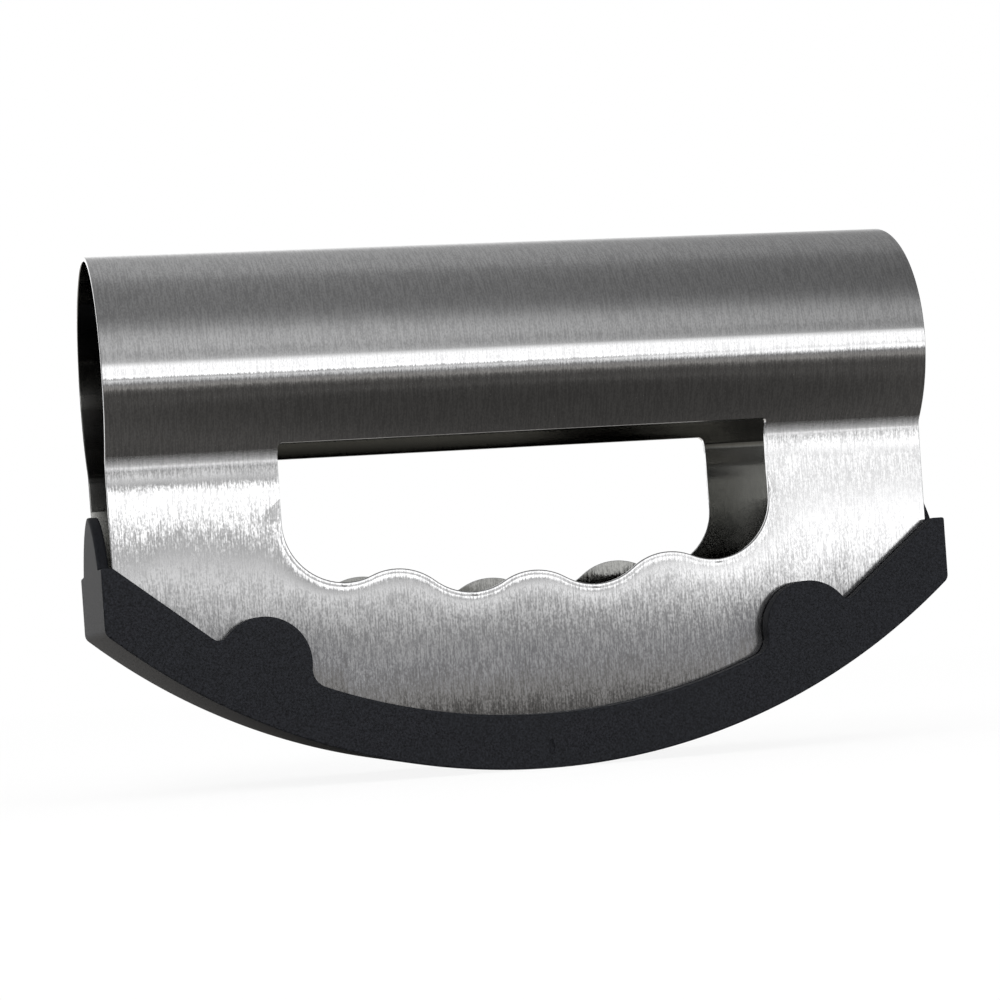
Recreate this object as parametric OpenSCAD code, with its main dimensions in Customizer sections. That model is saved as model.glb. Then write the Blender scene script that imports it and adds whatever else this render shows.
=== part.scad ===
// Two-bladed rolling food chopper: one folded sheet of steel that is handle and
// blades at once, and the moulded guard that its two curved edges rest in.
// Millimetres, Z up. The origin is under the middle of the guard, at its lowest point.
// X runs along the handle, Y across the two blades.

/* [Steel sheet] */
// Length of the folded sheet, along the handle
sheet_l = 178; // [150:1:210]
// Thickness of the sheet
sheet_t = 1; // [0.8:0.1:1.6]
// Outer diameter of the handle tube
tube_d = 55; // [50:0.5:62]
// Height of the centre line of the tube above the lowest point of the guard
tube_z = 87; // [82:0.5:96]
// Width over the outer faces of the two blades
blades_w = 41.2; // [36:0.2:44]
// Radius of the hollow side of the bend between the tube and a blade
neck_r = 3; // [2:0.5:6]
// Radius of the soft curve in which a blade runs into that bend
ease_r = 100; // [60:5:160]
// How far that soft curve turns, in degrees
ease_turn = 3.5; // [1:0.5:6]

/* [Cutting edges] */
// Height of the ground bevel along each cutting edge
grind_h = 3; // [1:0.5:6]
// Thickness left at the very edge
edge_t = 0.2; // [0.1:0.05:0.5]

/* [Finger window] */
// Radius of each of the four finger scoops
scoop_r = 13; // [11:0.5:14]
// Distance from one scoop to the next
scoop_pitch = 26.9; // [24:0.1:28]
// Radius of the rounded hump between two scoops
hump_r = 13; // [8:0.5:18]
// Radius of the arc that the four scoops follow
scoop_arc_r = 200; // [160:5:300]
// Height of the bottom of that arc above the lowest point of the guard
scoop_z = 37.75; // [35:0.25:42]
// Height of the straight top edge of the window
window_top_z = 71.4; // [70.5:0.1:74]
// Radius of the two upper corners of the window
window_corner_r = 1; // [0.5:0.5:4]

/* [Guard outline] */
// Radius of the curved underside that the guard rolls on
rocker_r = 140; // [125:1:170]
// Height of the side plates along the middle, measured along the radius
band_h = 11.5; // [9:0.5:16]
// Height of the two tips of each side plate
tip_z = 47.6; // [44:0.2:52]
// Slope of the straight edge from a tip down to its lobe, in degrees
tip_slope = 38.8; // [35:0.2:42]
// Distance of each lobe from the middle
lobe_x = 59.3; // [54:0.5:62]
// Height of the centre of each lobe
lobe_z = 26; // [24:0.25:27]
// Radius of each lobe
lobe_r = 9.8; // [8.5:0.1:10.5]
// Radius of the hollow between a lobe and the band
lobe_fillet_r = 4; // [2:0.5:6]
// Radius of the small hollow between a lobe and the straight edge
notch_r = 2; // [1:0.25:3]
// Radius of the lower corner at each end
corner_r = 2; // [1:0.25:4]

/* [Guard walls] */
// Thickness of each side plate
plate_t = 3.8; // [2:0.2:5]
// Thickness of each end wall
end_t = 2.4; // [1.6:0.2:4]
// Thickness of the curved floor
floor_t = 3; // [2:0.25:5]
// Width of the pointed arch on each end wall
arch_w = 35; // [30:0.5:36]
// Rise of that arch above the tips
arch_h = 11.9; // [10:0.1:14]
// Radius of the rounded point of that arch
arch_tip_r = 6; // [4:0.5:8]
// Radius of the two flanks of that arch
arch_flank_r = 26; // [22:1:34]
// Thickness of the two inner rails that keep the blades in line
rail_t = 1.6; // [1.2:0.2:3]
// Height of the inner rails above the floor
rail_h = 4; // [2:0.5:6]
// Gap between the steel and each face of the guard
fit_gap = 0.3; // [0.2:0.05:0.6]

/* [Gate mark] */
// Length of the shallow moulding mark low on the front side plate
gate_l = 3.2; // [2:0.2:5]
// Width of that mark
gate_w = 1.2; // [0.8:0.1:2]
// Depth of that mark
gate_depth = 0.4; // [0.2:0.1:0.8]
// Height of the middle of that mark
gate_z = 4.6; // [4:0.2:7]

/* [Hidden] */

// Facets of the large arcs, of the round solids, of one small arc, and of the soft curve
ARC_STEPS = 40;
ROUND_FN = 180;
FILLET_STEPS = 14;
EASE_STEPS = 3;
// Overrun of every cut past the face that it opens
over = 1;

tube_r = tube_d / 2;
blade_y = blades_w / 2;
sheet_x = sheet_l / 2;

// The neck arc touches the tube, and the soft curve touches the neck arc and the blade
tube_c = [0, tube_z];
ease_d = ease_r - neck_r;
neck_y = blade_y + ease_r - ease_d * cos(ease_turn);
neck_c = [neck_y, tube_z - sqrt(pow(tube_r + neck_r, 2) - neck_y * neck_y)];
ease_c = [blade_y + ease_r, neck_c[1] - ease_d * sin(ease_turn)];

rocker_c = [0, rocker_r];
floor_r = rocker_r - floor_t;
edge_r = floor_r - fit_gap;
band_r = rocker_r - band_h;

guard_y = blade_y + fit_gap + plate_t;
guard_x = sheet_x + fit_gap + end_t;
inner_y = blade_y + fit_gap;
inner_x = sheet_x + fit_gap;
rail_y = blade_y - sheet_t - fit_gap - rail_t;

// Points on an arc, from angle a0 to angle a1
function arc(c, r, a0, a1, n) = [for (k = [0 : n]) c + r * [cos(a0 + (a1 - a0) * k / n), sin(a0 + (a1 - a0) * k / n)]];
// Angle of the direction from p to q
function heading(p, q) = atan2(q[1] - p[1], q[0] - p[0]);
function mirrored(pts) = [for (k = [len(pts) - 1 : -1 : 0]) [-pts[k][0], pts[k][1]]];
// Meeting point of a circle (p, a) with a circle (q, b), on the left of the way from p to q
function meet(p, a, q, b) =
    let (d = norm(q - p), u = (q - p) / d, s = (d * d + a * a - b * b) / (2 * d), h = sqrt(a * a - s * s))
    p + s * u + h * [-u[1], u[0]];

// One face of the folded sheet in Y and Z, d inside its outer face
function fold_pts(d) =
    let (
        tube_a = heading(tube_c, neck_c),
        ease_pts = arc(ease_c, ease_r + d, 180, 180 - ease_turn, EASE_STEPS),
        neck_pts = arc(neck_c, neck_r + d, 180 - ease_turn, heading(neck_c, tube_c), FILLET_STEPS),
        half = concat([[blade_y - d, 0]], ease_pts, [for (k = [1 : FILLET_STEPS]) neck_pts[k]])
    )
    concat(half, arc(tube_c, tube_r - d, tube_a, 180 - tube_a, ARC_STEPS * 2), mirrored(half));

// Scoops of the finger window, left to right, and the humps between them
scoop_n = 4;
function scoop_c(i) =
    let (x = (i - (scoop_n - 1) / 2) * scoop_pitch)
    [x, scoop_z + scoop_r + scoop_arc_r - sqrt(pow(scoop_arc_r, 2) - x * x)];
function hump_c(i) = meet(scoop_c(i + 1), scoop_r + hump_r, scoop_c(i), scoop_r + hump_r);
window_x = scoop_c(scoop_n - 1)[0] + scoop_r;
corner_x = window_x - window_corner_r;
corner_z = window_top_z - window_corner_r;

// Window edge, from the upper right corner round by the left to the last scoop
window_pts = concat(
    arc([corner_x, corner_z], window_corner_r, 0, 90, FILLET_STEPS),
    arc([-corner_x, corner_z], window_corner_r, 90, 180, FILLET_STEPS),
    arc(scoop_c(0), scoop_r, 180, 360 + heading(scoop_c(0), hump_c(0)), FILLET_STEPS),
    [for (i = [0 : scoop_n - 2]) each concat(
        arc(hump_c(i), hump_r, heading(hump_c(i), scoop_c(i)), heading(hump_c(i), scoop_c(i + 1)), FILLET_STEPS),
        i < scoop_n - 2
            ? arc(scoop_c(i + 1), scoop_r, heading(scoop_c(i + 1), hump_c(i)), heading(scoop_c(i + 1), hump_c(i + 1)),
                FILLET_STEPS)
            : arc(scoop_c(i + 1), scoop_r, heading(scoop_c(i + 1), hump_c(i)), 0, FILLET_STEPS)
    )]
);

// Right half of the upper edge of a side plate
lobe_c = [lobe_x, lobe_z];
lobe_fillet_c = meet(lobe_c, lobe_r + lobe_fillet_r, rocker_c, band_r - lobe_fillet_r);
tip_p = [guard_x - end_t, tip_z];
slope_u = [cos(tip_slope), sin(tip_slope)];
slope_n = [-slope_u[1], slope_u[0]];
// Centre of the notch hollow: notch_r above the slope, and one lobe radius more from the lobe
notch_d = (lobe_c - tip_p) * slope_n - notch_r;
notch_s = (lobe_c - tip_p) * slope_u + sqrt(pow(lobe_r + notch_r, 2) - notch_d * notch_d);
notch_c = tip_p + notch_r * slope_n + notch_s * slope_u;
corner_c = [guard_x - corner_r, rocker_r - sqrt(pow(rocker_r - corner_r, 2) - pow(guard_x - corner_r, 2))];

plate_right = concat(
    arc(rocker_c, band_r, -90, heading(rocker_c, lobe_fillet_c), ARC_STEPS),
    arc(lobe_fillet_c, lobe_fillet_r, heading(rocker_c, lobe_fillet_c), heading(lobe_fillet_c, lobe_c), FILLET_STEPS),
    arc(lobe_c, lobe_r, 180 + heading(lobe_fillet_c, lobe_c), heading(lobe_c, notch_c), FILLET_STEPS * 2),
    arc(notch_c, notch_r, 180 + heading(lobe_c, notch_c), 270 + tip_slope, FILLET_STEPS),
    [tip_p, [guard_x, tip_z]]
);

// Part of the guard below its tips, with the round lower corners
module guard_side_shape() {
    end_a = heading(rocker_c, corner_c);
    corner_pts = arc(corner_c, corner_r, 0, end_a, FILLET_STEPS);
    foot = corner_pts[FILLET_STEPS];
    half = concat(corner_pts, [[foot[0], -over]]);
    intersection() {
        children();
        polygon(concat([[-guard_x, tip_z + over], [guard_x, tip_z + over]], half, mirrored(half)));
        translate(rocker_c) circle(r = rocker_r, $fn = ROUND_FN);
    }
}

// Outline of a side plate, seen along Y
module plate_shape() {
    guard_side_shape()
        polygon(concat(plate_right, [[guard_x, -over], [-guard_x, -over]],
            [for (k = [len(plate_right) - 1 : -1 : 1]) [-plate_right[k][0], plate_right[k][1]]]));
}

// A flat outline in X and Z, given a thickness in Y that starts at y0
module slab(y0, thick) {
    translate([0, y0 + thick, 0]) rotate([90, 0, 0]) linear_extrude(height = thick) children();
}

// Folded sheet seen along X: two straight blades, two hollow bends and the tube
module sheet_profile() {
    polygon(concat(fold_pts(0), [for (k = [len(fold_pts(sheet_t)) - 1 : -1 : 0]) fold_pts(sheet_t)[k]]));
}

// Shape of both cutting edges, seen along Y
module rocker_disc(r, y0, thick) {
    translate([0, y0 + thick, rocker_r]) rotate([90, 0, 0]) cylinder(r = r, h = thick, $fn = ROUND_FN);
}

// Ground bevel on the outer face of one blade
module grind_cut() {
    top_r = edge_r - grind_h;
    slope_share = (sheet_t - edge_t) / grind_h;
    translate([0, 0, rocker_r]) rotate([90, 0, 0]) rotate_extrude($fn = ROUND_FN)
        polygon([[top_r, blade_y], [edge_r + over, blade_y - slope_share * (grind_h + over)],
            [edge_r + over, blade_y + over], [top_r, blade_y + over]]);
}

module blade_body() {
    color([0.74, 0.74, 0.73])
    difference() {
        intersection() {
            translate([-sheet_x, 0, 0]) rotate([90, 0, 90]) linear_extrude(height = sheet_l) sheet_profile();
            rocker_disc(edge_r, -tube_r - over, tube_d + 2 * over);
        }
        slab(-tube_r - over, tube_d + 2 * over) polygon(window_pts);
        grind_cut();
        mirror([0, 1, 0]) grind_cut();
    }
}

// Centres of the rounded point and of the right flank of an end arch
arch_c = [0, tip_z + arch_h - arch_tip_r];
flank_c = meet([arch_w / 2, tip_z], arch_flank_r, arch_c, arch_flank_r - arch_tip_r);

// Pointed arch that closes the gap between the blades at one end, seen along X
module arch_shape() {
    flank_pts = arc(flank_c, arch_flank_r, heading(flank_c, [arch_w / 2, tip_z]), heading(flank_c, arch_c),
        FILLET_STEPS);
    half = concat([[arch_w / 2, tip_z - over]], flank_pts,
        arc(arch_c, arch_tip_r, heading(flank_c, arch_c), 90, FILLET_STEPS));
    polygon(concat(half, mirrored(half)));
}

// Floor, end walls and inner rails, each as one strip across the guard
module guard_core() {
    slab(-inner_y, 2 * inner_y) guard_side_shape() difference() {
        translate([-guard_x, -over]) square([2 * guard_x, tip_z + over]);
        intersection() {
            translate(rocker_c) circle(r = floor_r, $fn = ROUND_FN);
            translate([-inner_x, -over]) square([2 * inner_x, tip_z + 2 * over]);
        }
    }
    for (s = [-1, 1])
        slab(s * (rail_y + rail_t / 2) - rail_t / 2, rail_t) intersection() {
            difference() {
                translate(rocker_c) circle(r = floor_r + over, $fn = ROUND_FN);
                translate(rocker_c) circle(r = floor_r - rail_h, $fn = ROUND_FN);
            }
            translate([-inner_x - end_t / 2, 0]) square([2 * inner_x + end_t, lobe_z]);
        }
    for (s = [-1, 1])
        translate([s * (guard_x - end_t / 2) - end_t / 2, 0, 0]) rotate([90, 0, 90])
            linear_extrude(height = end_t) arch_shape();
}

// Shallow upright moulding mark on a side plate
module gate_mark() {
    straight = gate_l - gate_w;
    translate([0, -guard_y - over, gate_z]) rotate([-90, 0, 0]) {
        translate([-gate_w / 2, -straight / 2, 0]) cube([gate_w, straight, gate_depth + over]);
        for (s = [-1, 1])
            translate([0, s * straight / 2, 0]) cylinder(d = gate_w, h = gate_depth + over, $fn = FILLET_STEPS * 2);
    }
}

module blade_guard() {
    color([0.15, 0.16, 0.17])
    difference() {
        union() {
            slab(-guard_y, plate_t) plate_shape();
            slab(inner_y, plate_t) plate_shape();
            guard_core();
        }
        gate_mark();
    }
}

blade_body();
blade_guard();
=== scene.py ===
"""Two-bladed rolling food chopper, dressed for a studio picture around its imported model.

The steel sheet and the moulded guard are modelled again with rounded edges from the same
sizes as the solids that they replace. Lengths are in metres, X runs along the handle, Y
across the two blades and Z up.
"""

from __future__ import annotations

import logging
import math
from collections.abc import Callable
from dataclasses import dataclass, field
from enum import Enum

import bmesh
import bpy
from mathutils import Matrix, Vector


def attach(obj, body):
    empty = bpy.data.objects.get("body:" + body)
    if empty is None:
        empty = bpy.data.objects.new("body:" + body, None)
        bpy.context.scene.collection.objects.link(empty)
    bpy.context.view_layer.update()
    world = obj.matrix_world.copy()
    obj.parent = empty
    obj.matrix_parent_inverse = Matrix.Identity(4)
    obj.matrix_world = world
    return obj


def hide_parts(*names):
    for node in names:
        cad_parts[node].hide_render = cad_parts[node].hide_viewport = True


MM = 0.001
SHARP = math.radians(48)
CLOSE = 0.01 * MM
OUTLINE_GAP = 0.002 * MM
MESH_GAP = 0.001 * MM
WHITE = (1.0, 1.0, 1.0, 1.0)
Point = tuple[float, float]
Colour = tuple[float, float, float, float]
Profile = tuple[tuple[float, float], ...]
NodeInput = bpy.types.NodeSocket | float

log = logging.getLogger("chopper")
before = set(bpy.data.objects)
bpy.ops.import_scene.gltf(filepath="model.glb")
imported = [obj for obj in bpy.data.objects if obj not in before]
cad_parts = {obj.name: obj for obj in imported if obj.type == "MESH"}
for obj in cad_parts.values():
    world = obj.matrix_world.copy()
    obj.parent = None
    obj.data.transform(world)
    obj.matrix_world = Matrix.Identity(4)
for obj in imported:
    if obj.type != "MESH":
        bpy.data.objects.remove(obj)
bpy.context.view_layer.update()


# Plane geometry -----------------------------------------------------------------------


def heading(start: Point, end: Point) -> float:
    """Return the direction from start to end, in degrees."""
    return math.degrees(math.atan2(end[1] - start[1], end[0] - start[0]))


def meet(p: Point, a: float, q: Point, b: float) -> Point:
    """Find where two circles cross.

    Args:
        p: Centre of the first circle.
        a: Radius of the first circle.
        q: Centre of the second circle.
        b: Radius of the second circle.

    Returns:
        The crossing on the left of the way from p to q.
    """
    d = math.dist(p, q)
    ux, uy = (q[0] - p[0]) / d, (q[1] - p[1]) / d
    along = (d * d + a * a - b * b) / (2 * d)
    aside = math.sqrt(a * a - along * along)
    return (p[0] + along * ux - aside * uy, p[1] + along * uy + aside * ux)


@dataclass(frozen=True)
class Line:
    """Straight stretch of an outline, from start to end."""

    start: Point
    end: Point

    def mirrored(self) -> Line:
        """Return the stretch mirrored left to right and run backwards."""
        return Line((-self.end[0], self.end[1]), (-self.start[0], self.start[1]))


@dataclass(frozen=True)
class Arc:
    """Round stretch of an outline, from angle a0 to angle a1 in degrees."""

    centre: Point
    radius: float
    a0: float
    a1: float
    steps: int

    @property
    def start(self) -> Point:
        """Return the first point of the arc."""
        return self._at(self.a0)

    @property
    def end(self) -> Point:
        """Return the last point of the arc."""
        return self._at(self.a1)

    def _at(self, angle: float) -> Point:
        """Return the point of the arc's circle at an angle in degrees."""
        a = math.radians(angle)
        return (self.centre[0] + self.radius * math.cos(a), self.centre[1] + self.radius * math.sin(a))

    def mirrored(self) -> Arc:
        """Return the arc mirrored left to right and run backwards."""
        return Arc((-self.centre[0], self.centre[1]), self.radius, 180 - self.a1, 180 - self.a0, self.steps)


Stretch = Line | Arc


def with_mirror(half: list[Stretch]) -> list[Stretch]:
    """Return an outline made of its right half and the mirror of that half."""
    return half + [stretch.mirrored() for stretch in reversed(half)]


# Modelling with the operators -----------------------------------------------------------


class View(Enum):
    """Direction that an outline is seen along, as the axis that its arcs turn about."""

    SIDE = (0.0, 1.0, 0.0)
    END = (-1.0, 0.0, 0.0)

    def place(self, point: Point, depth: float) -> Vector:
        """Place a point of an outline in space.

        Args:
            point: The point of the outline.
            depth: Where the outline lies along the direction that it is seen along.

        Returns:
            The point of space.
        """
        if self is View.SIDE:
            return Vector((point[0], depth, point[1]))
        return Vector((depth, point[0], point[1]))


def deselect() -> None:
    """Leave edit mode and deselect every object."""
    if bpy.context.object and bpy.context.object.mode != "OBJECT":
        bpy.ops.object.mode_set(mode="OBJECT")
    bpy.ops.object.select_all(action="DESELECT")


def pick(obj: bpy.types.Object) -> None:
    """Select one object alone and make it the active one.

    Args:
        obj: The object.
    """
    deselect()
    obj.select_set(True)
    bpy.context.view_layer.objects.active = obj


def named(name: str) -> bpy.types.Object:
    """Name the object that an operator has just added.

    Args:
        name: Name for the object and its data.

    Returns:
        The object.
    """
    obj = bpy.context.object
    obj.name = name
    obj.data.name = name
    return obj


def trace(name: str, view: View, depth: float, outline: list[Stretch]) -> bpy.types.Object:
    """Trace an outline with spin and extrude.

    Args:
        name: Name of the new object.
        view: Direction that the outline is seen along.
        depth: Place of the outline along that direction.
        outline: Stretches that follow each other without a gap.

    Returns:
        An object of edges, with its whole mesh selected, left in edit mode.
    """
    deselect()
    bpy.ops.mesh.primitive_plane_add(size=MM, location=view.place(outline[0].start, depth))
    obj = named(name)
    bpy.ops.object.transform_apply(location=True, rotation=True, scale=True)
    bpy.ops.object.mode_set(mode="EDIT")
    bpy.ops.mesh.select_mode(type="VERT")
    bpy.ops.mesh.select_all(action="SELECT")
    bpy.ops.mesh.merge(type="CENTER")
    for stretch in outline:
        if isinstance(stretch, Arc):
            bpy.ops.mesh.spin(
                steps=stretch.steps,
                angle=math.radians(stretch.a1 - stretch.a0),
                center=view.place(stretch.centre, depth),
                axis=view.value,
            )
        else:
            step = view.place(stretch.end, depth) - view.place(stretch.start, depth)
            bpy.ops.mesh.extrude_region_move(TRANSFORM_OT_translate={"value": step})
    bpy.ops.mesh.select_all(action="SELECT")
    bpy.ops.mesh.remove_doubles(threshold=OUTLINE_GAP)
    bpy.ops.mesh.select_all(action="SELECT")
    return obj


def prism(name: str, view: View, depth: float, thick: float, outline: list[Stretch]) -> bpy.types.Object:
    """Make a solid of one closed outline and one thickness.

    Args:
        name: Name of the new object.
        view: Direction that the outline is seen along.
        depth: Place of the near face along that direction.
        thick: Thickness from the near face to the far one.
        outline: Closed outline.

    Returns:
        The solid, in object mode.
    """
    obj = trace(name, view, depth, outline)
    bpy.ops.mesh.edge_face_add()
    step = view.place((0.0, 0.0), thick)
    bpy.ops.mesh.extrude_region_move(TRANSFORM_OT_translate={"value": step})
    face_outwards()
    bpy.ops.object.mode_set(mode="OBJECT")
    return obj


def face_outwards() -> None:
    """Turn the faces of the closed mesh in edit mode outwards."""
    bpy.ops.mesh.select_all(action="SELECT")
    bpy.ops.mesh.normals_make_consistent(inside=False)


class Cut(Enum):
    """What a tool solid does to the piece that it meets."""

    TAKE_AWAY = "DIFFERENCE"
    KEEP_COMMON = "INTERSECT"
    ADD = "UNION"


def volume(piece: bpy.types.Object) -> float:
    """Measure the volume that the faces of a closed piece enclose.

    Args:
        piece: The piece to measure.

    Returns:
        The volume in cubic metres, below zero where the faces point inwards.
    """
    mesh = bmesh.new()
    mesh.from_mesh(piece.data)
    held = mesh.calc_volume(signed=True)
    mesh.free()
    return held


def carve(piece: bpy.types.Object, tool: bpy.types.Object, cut: Cut) -> None:
    """Apply a tool solid to a piece and delete the tool.

    Args:
        piece: The piece that is changed.
        tool: The solid that changes it.
        cut: What the tool does.

    Raises:
        RuntimeError: The cut failed, as the piece is empty or its volume changed the wrong way.
    """
    before = volume(piece)
    pick(piece)
    mod = piece.modifiers.new(cut.name.lower(), "BOOLEAN")
    mod.operation = cut.value
    mod.solver = "EXACT"
    mod.object = tool
    bpy.ops.object.modifier_apply(modifier=mod.name)
    bpy.data.objects.remove(tool, do_unlink=True)
    after = volume(piece)
    if after <= 0.0 or (after > before) != (cut is Cut.ADD):
        raise RuntimeError(f"{piece.name}: {cut.name.lower()} failed, {before / MM**3:.0f} to {after / MM**3:.0f} mm3")


def merge_close(piece: bpy.types.Object) -> None:
    """Merge the points of a piece that its cuts left almost on one another, so that it rounds cleanly.

    Args:
        piece: The piece to clean.
    """
    pick(piece)
    bpy.ops.object.mode_set(mode="EDIT")
    bpy.ops.mesh.select_all(action="SELECT")
    bpy.ops.mesh.remove_doubles(threshold=MESH_GAP)
    bpy.ops.object.mode_set(mode="OBJECT")


def round_edges(
    piece: bpy.types.Object, width: float, steps: int, wanted: Callable[[Vector, Vector], bool] | None = None
) -> int:
    """Round the sharp outer edges of a piece.

    Args:
        piece: The piece to round.
        width: Width of the rounding, measured on each face.
        steps: Number of faces across it.
        wanted: Takes an edge's two end points and says if it is rounded; all are where it is left out.

    Returns:
        How many edges were rounded.
    """
    pick(piece)
    bpy.ops.object.mode_set(mode="EDIT")
    bpy.ops.mesh.select_mode(type="EDGE")
    bpy.ops.mesh.select_all(action="DESELECT")
    mesh = bmesh.from_edit_mesh(piece.data)
    count = 0
    for edge in mesh.edges:
        if edge.is_manifold and edge.is_convex and edge.calc_face_angle() > SHARP:
            if wanted is None or wanted(*(vert.co for vert in edge.verts)):
                edge.select_set(True)
                count += 1
    bmesh.update_edit_mesh(piece.data)
    if count:
        bpy.ops.mesh.bevel(offset=width, segments=steps, profile=0.5, affect="EDGES")
    bpy.ops.object.mode_set(mode="OBJECT")
    return count


def score(piece: bpy.types.Object, places: tuple[float, ...]) -> None:
    """Score a piece all round, which splits its largest faces.

    Args:
        piece: The piece to score.
        places: Places along X; the piece is scored at their mirrors too.
    """
    pick(piece)
    bpy.ops.object.mode_set(mode="EDIT")
    for x in (side * place for place in places for side in (-1, 1)):
        bpy.ops.mesh.select_all(action="SELECT")
        bpy.ops.mesh.bisect(plane_co=(x, 0.0, 0.0), plane_no=(1.0, 0.0, 0.0))
    bpy.ops.object.mode_set(mode="OBJECT")


def polish(piece: bpy.types.Object, angle: float = 32.0) -> None:
    """Merge doubles, shade the piece smooth and keep its flat faces flat.

    Args:
        piece: The piece to finish.
        angle: Edges sharper than this, in degrees, stay crisp.
    """
    pick(piece)
    bpy.ops.object.mode_set(mode="EDIT")
    bpy.ops.mesh.select_all(action="SELECT")
    bpy.ops.mesh.remove_doubles(threshold=MESH_GAP)
    bpy.ops.mesh.delete_loose()
    face_outwards()
    bpy.ops.object.mode_set(mode="OBJECT")
    bpy.ops.object.shade_smooth_by_angle(angle=math.radians(angle))
    weigh = piece.modifiers.new("flat_faces", "WEIGHTED_NORMAL")
    weigh.keep_sharp = True
    weigh.mode = "FACE_AREA"
    weigh.weight = 100
    bpy.ops.object.modifier_apply(modifier=weigh.name)


# Finishes -------------------------------------------------------------------------------


class NodeWork:
    """Node tree with short calls to add and join its nodes."""

    def __init__(self, tree: bpy.types.NodeTree, output: str) -> None:
        """Empty a node tree and give it an output node.

        Args:
            tree: The node tree.
            output: Blender's name of the output node's type.
        """
        self.tree = tree
        self.tree.nodes.clear()
        self.out = self.tree.nodes.new(output)

    def add(self, kind: str, **values: object) -> bpy.types.Node:
        """Add a node and set its properties and the inputs of those names.

        Args:
            kind: Blender's name of the node type.
            **values: Properties, or inputs with spaces written as underscores.

        Returns:
            The new node.
        """
        node = self.tree.nodes.new(kind)
        for key, value in values.items():
            label = key.replace("_", " ")
            if hasattr(node, key):
                setattr(node, key, value)
            else:
                node.inputs[label].default_value = value
        return node

    def join(self, source: bpy.types.NodeSocket, target: bpy.types.NodeSocket) -> None:
        """Link one socket to another."""
        self.tree.links.new(source, target)

    def stretched(self, scale: tuple[float, float, float]) -> bpy.types.NodeSocket:
        """Stretch the object coordinates.

        Args:
            scale: Factor along each axis.

        Returns:
            The stretched coordinates.
        """
        place = self.add("ShaderNodeTexCoord")
        mapping = self.add("ShaderNodeMapping")
        mapping.inputs["Scale"].default_value = scale
        self.join(place.outputs["Object"], mapping.inputs["Vector"])
        return mapping.outputs["Vector"]

    def profile(self, source: bpy.types.NodeSocket, stops: Profile) -> bpy.types.NodeSocket:
        """Look a value up in a profile.

        Args:
            source: The value.
            stops: Values in rising order, each with the level that belongs to it.

        Returns:
            The level between the two stops around the value.
        """
        low, high = stops[0][0], stops[-1][0]
        unit = self.add("ShaderNodeMapRange", From_Min=low, From_Max=high)
        self.join(source, unit.inputs["Value"])
        node = self.tree.nodes.new("ShaderNodeValToRGB")
        marks = node.color_ramp.elements
        while len(marks) < len(stops):
            marks.new(0.5)
        for mark, (value, level) in zip(marks, stops):
            mark.position = (value - low) / (high - low)
            mark.color = (level, level, level, 1.0)
        self.join(unit.outputs["Result"], node.inputs["Fac"])
        return node.outputs["Color"]

    def math(self, operation: str, first: NodeInput, second: NodeInput = 0.0) -> bpy.types.NodeSocket:
        """Calculate with sockets or plain numbers.

        Args:
            operation: Blender's name of the calculation.
            first: First value.
            second: Second value, unused by a calculation on one value.

        Returns:
            The result.
        """
        node = self.add("ShaderNodeMath", operation=operation)
        for slot, value in zip(node.inputs, (first, second)):
            if isinstance(value, (int, float)):
                slot.default_value = value
            else:
                self.join(value, slot)
        return node.outputs["Value"]

    def seen_directly(self) -> bpy.types.NodeSocket:
        """Tell rays that show a thing from rays that only light the object.

        Returns:
            1 for rays from the camera, off metal or through glass, and 0 for others.
        """
        path = self.add("ShaderNodeLightPath")
        direct = self.math("MAXIMUM", path.outputs["Is Camera Ray"], path.outputs["Is Glossy Ray"])
        return self.math("MAXIMUM", direct, path.outputs["Is Transmission Ray"])


class Recipe(NodeWork):
    """Node tree of one material."""

    def __init__(self, name: str) -> None:
        """Start an empty material.

        Args:
            name: Name of the material.
        """
        self.material = bpy.data.materials.new(name)
        self.material.use_nodes = True
        super().__init__(self.material.node_tree, "ShaderNodeOutputMaterial")

    def shine(self, level: bpy.types.NodeSocket, tint: bpy.types.NodeSocket | None = None) -> bpy.types.Material:
        """Finish the material as a glowing cloth or card.

        Args:
            level: Strength of the glow.
            tint: Colour of the glow, white where it is left out.

        Returns:
            The finished material.
        """
        glow = self.add("ShaderNodeEmission", Color=WHITE)
        if tint is not None:
            self.join(tint, glow.inputs["Color"])
        self.join(level, glow.inputs["Strength"])
        self.join(glow.outputs["Emission"], self.out.inputs["Surface"])
        self.material.cycles.emission_sampling = "NONE"
        return self.material


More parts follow.
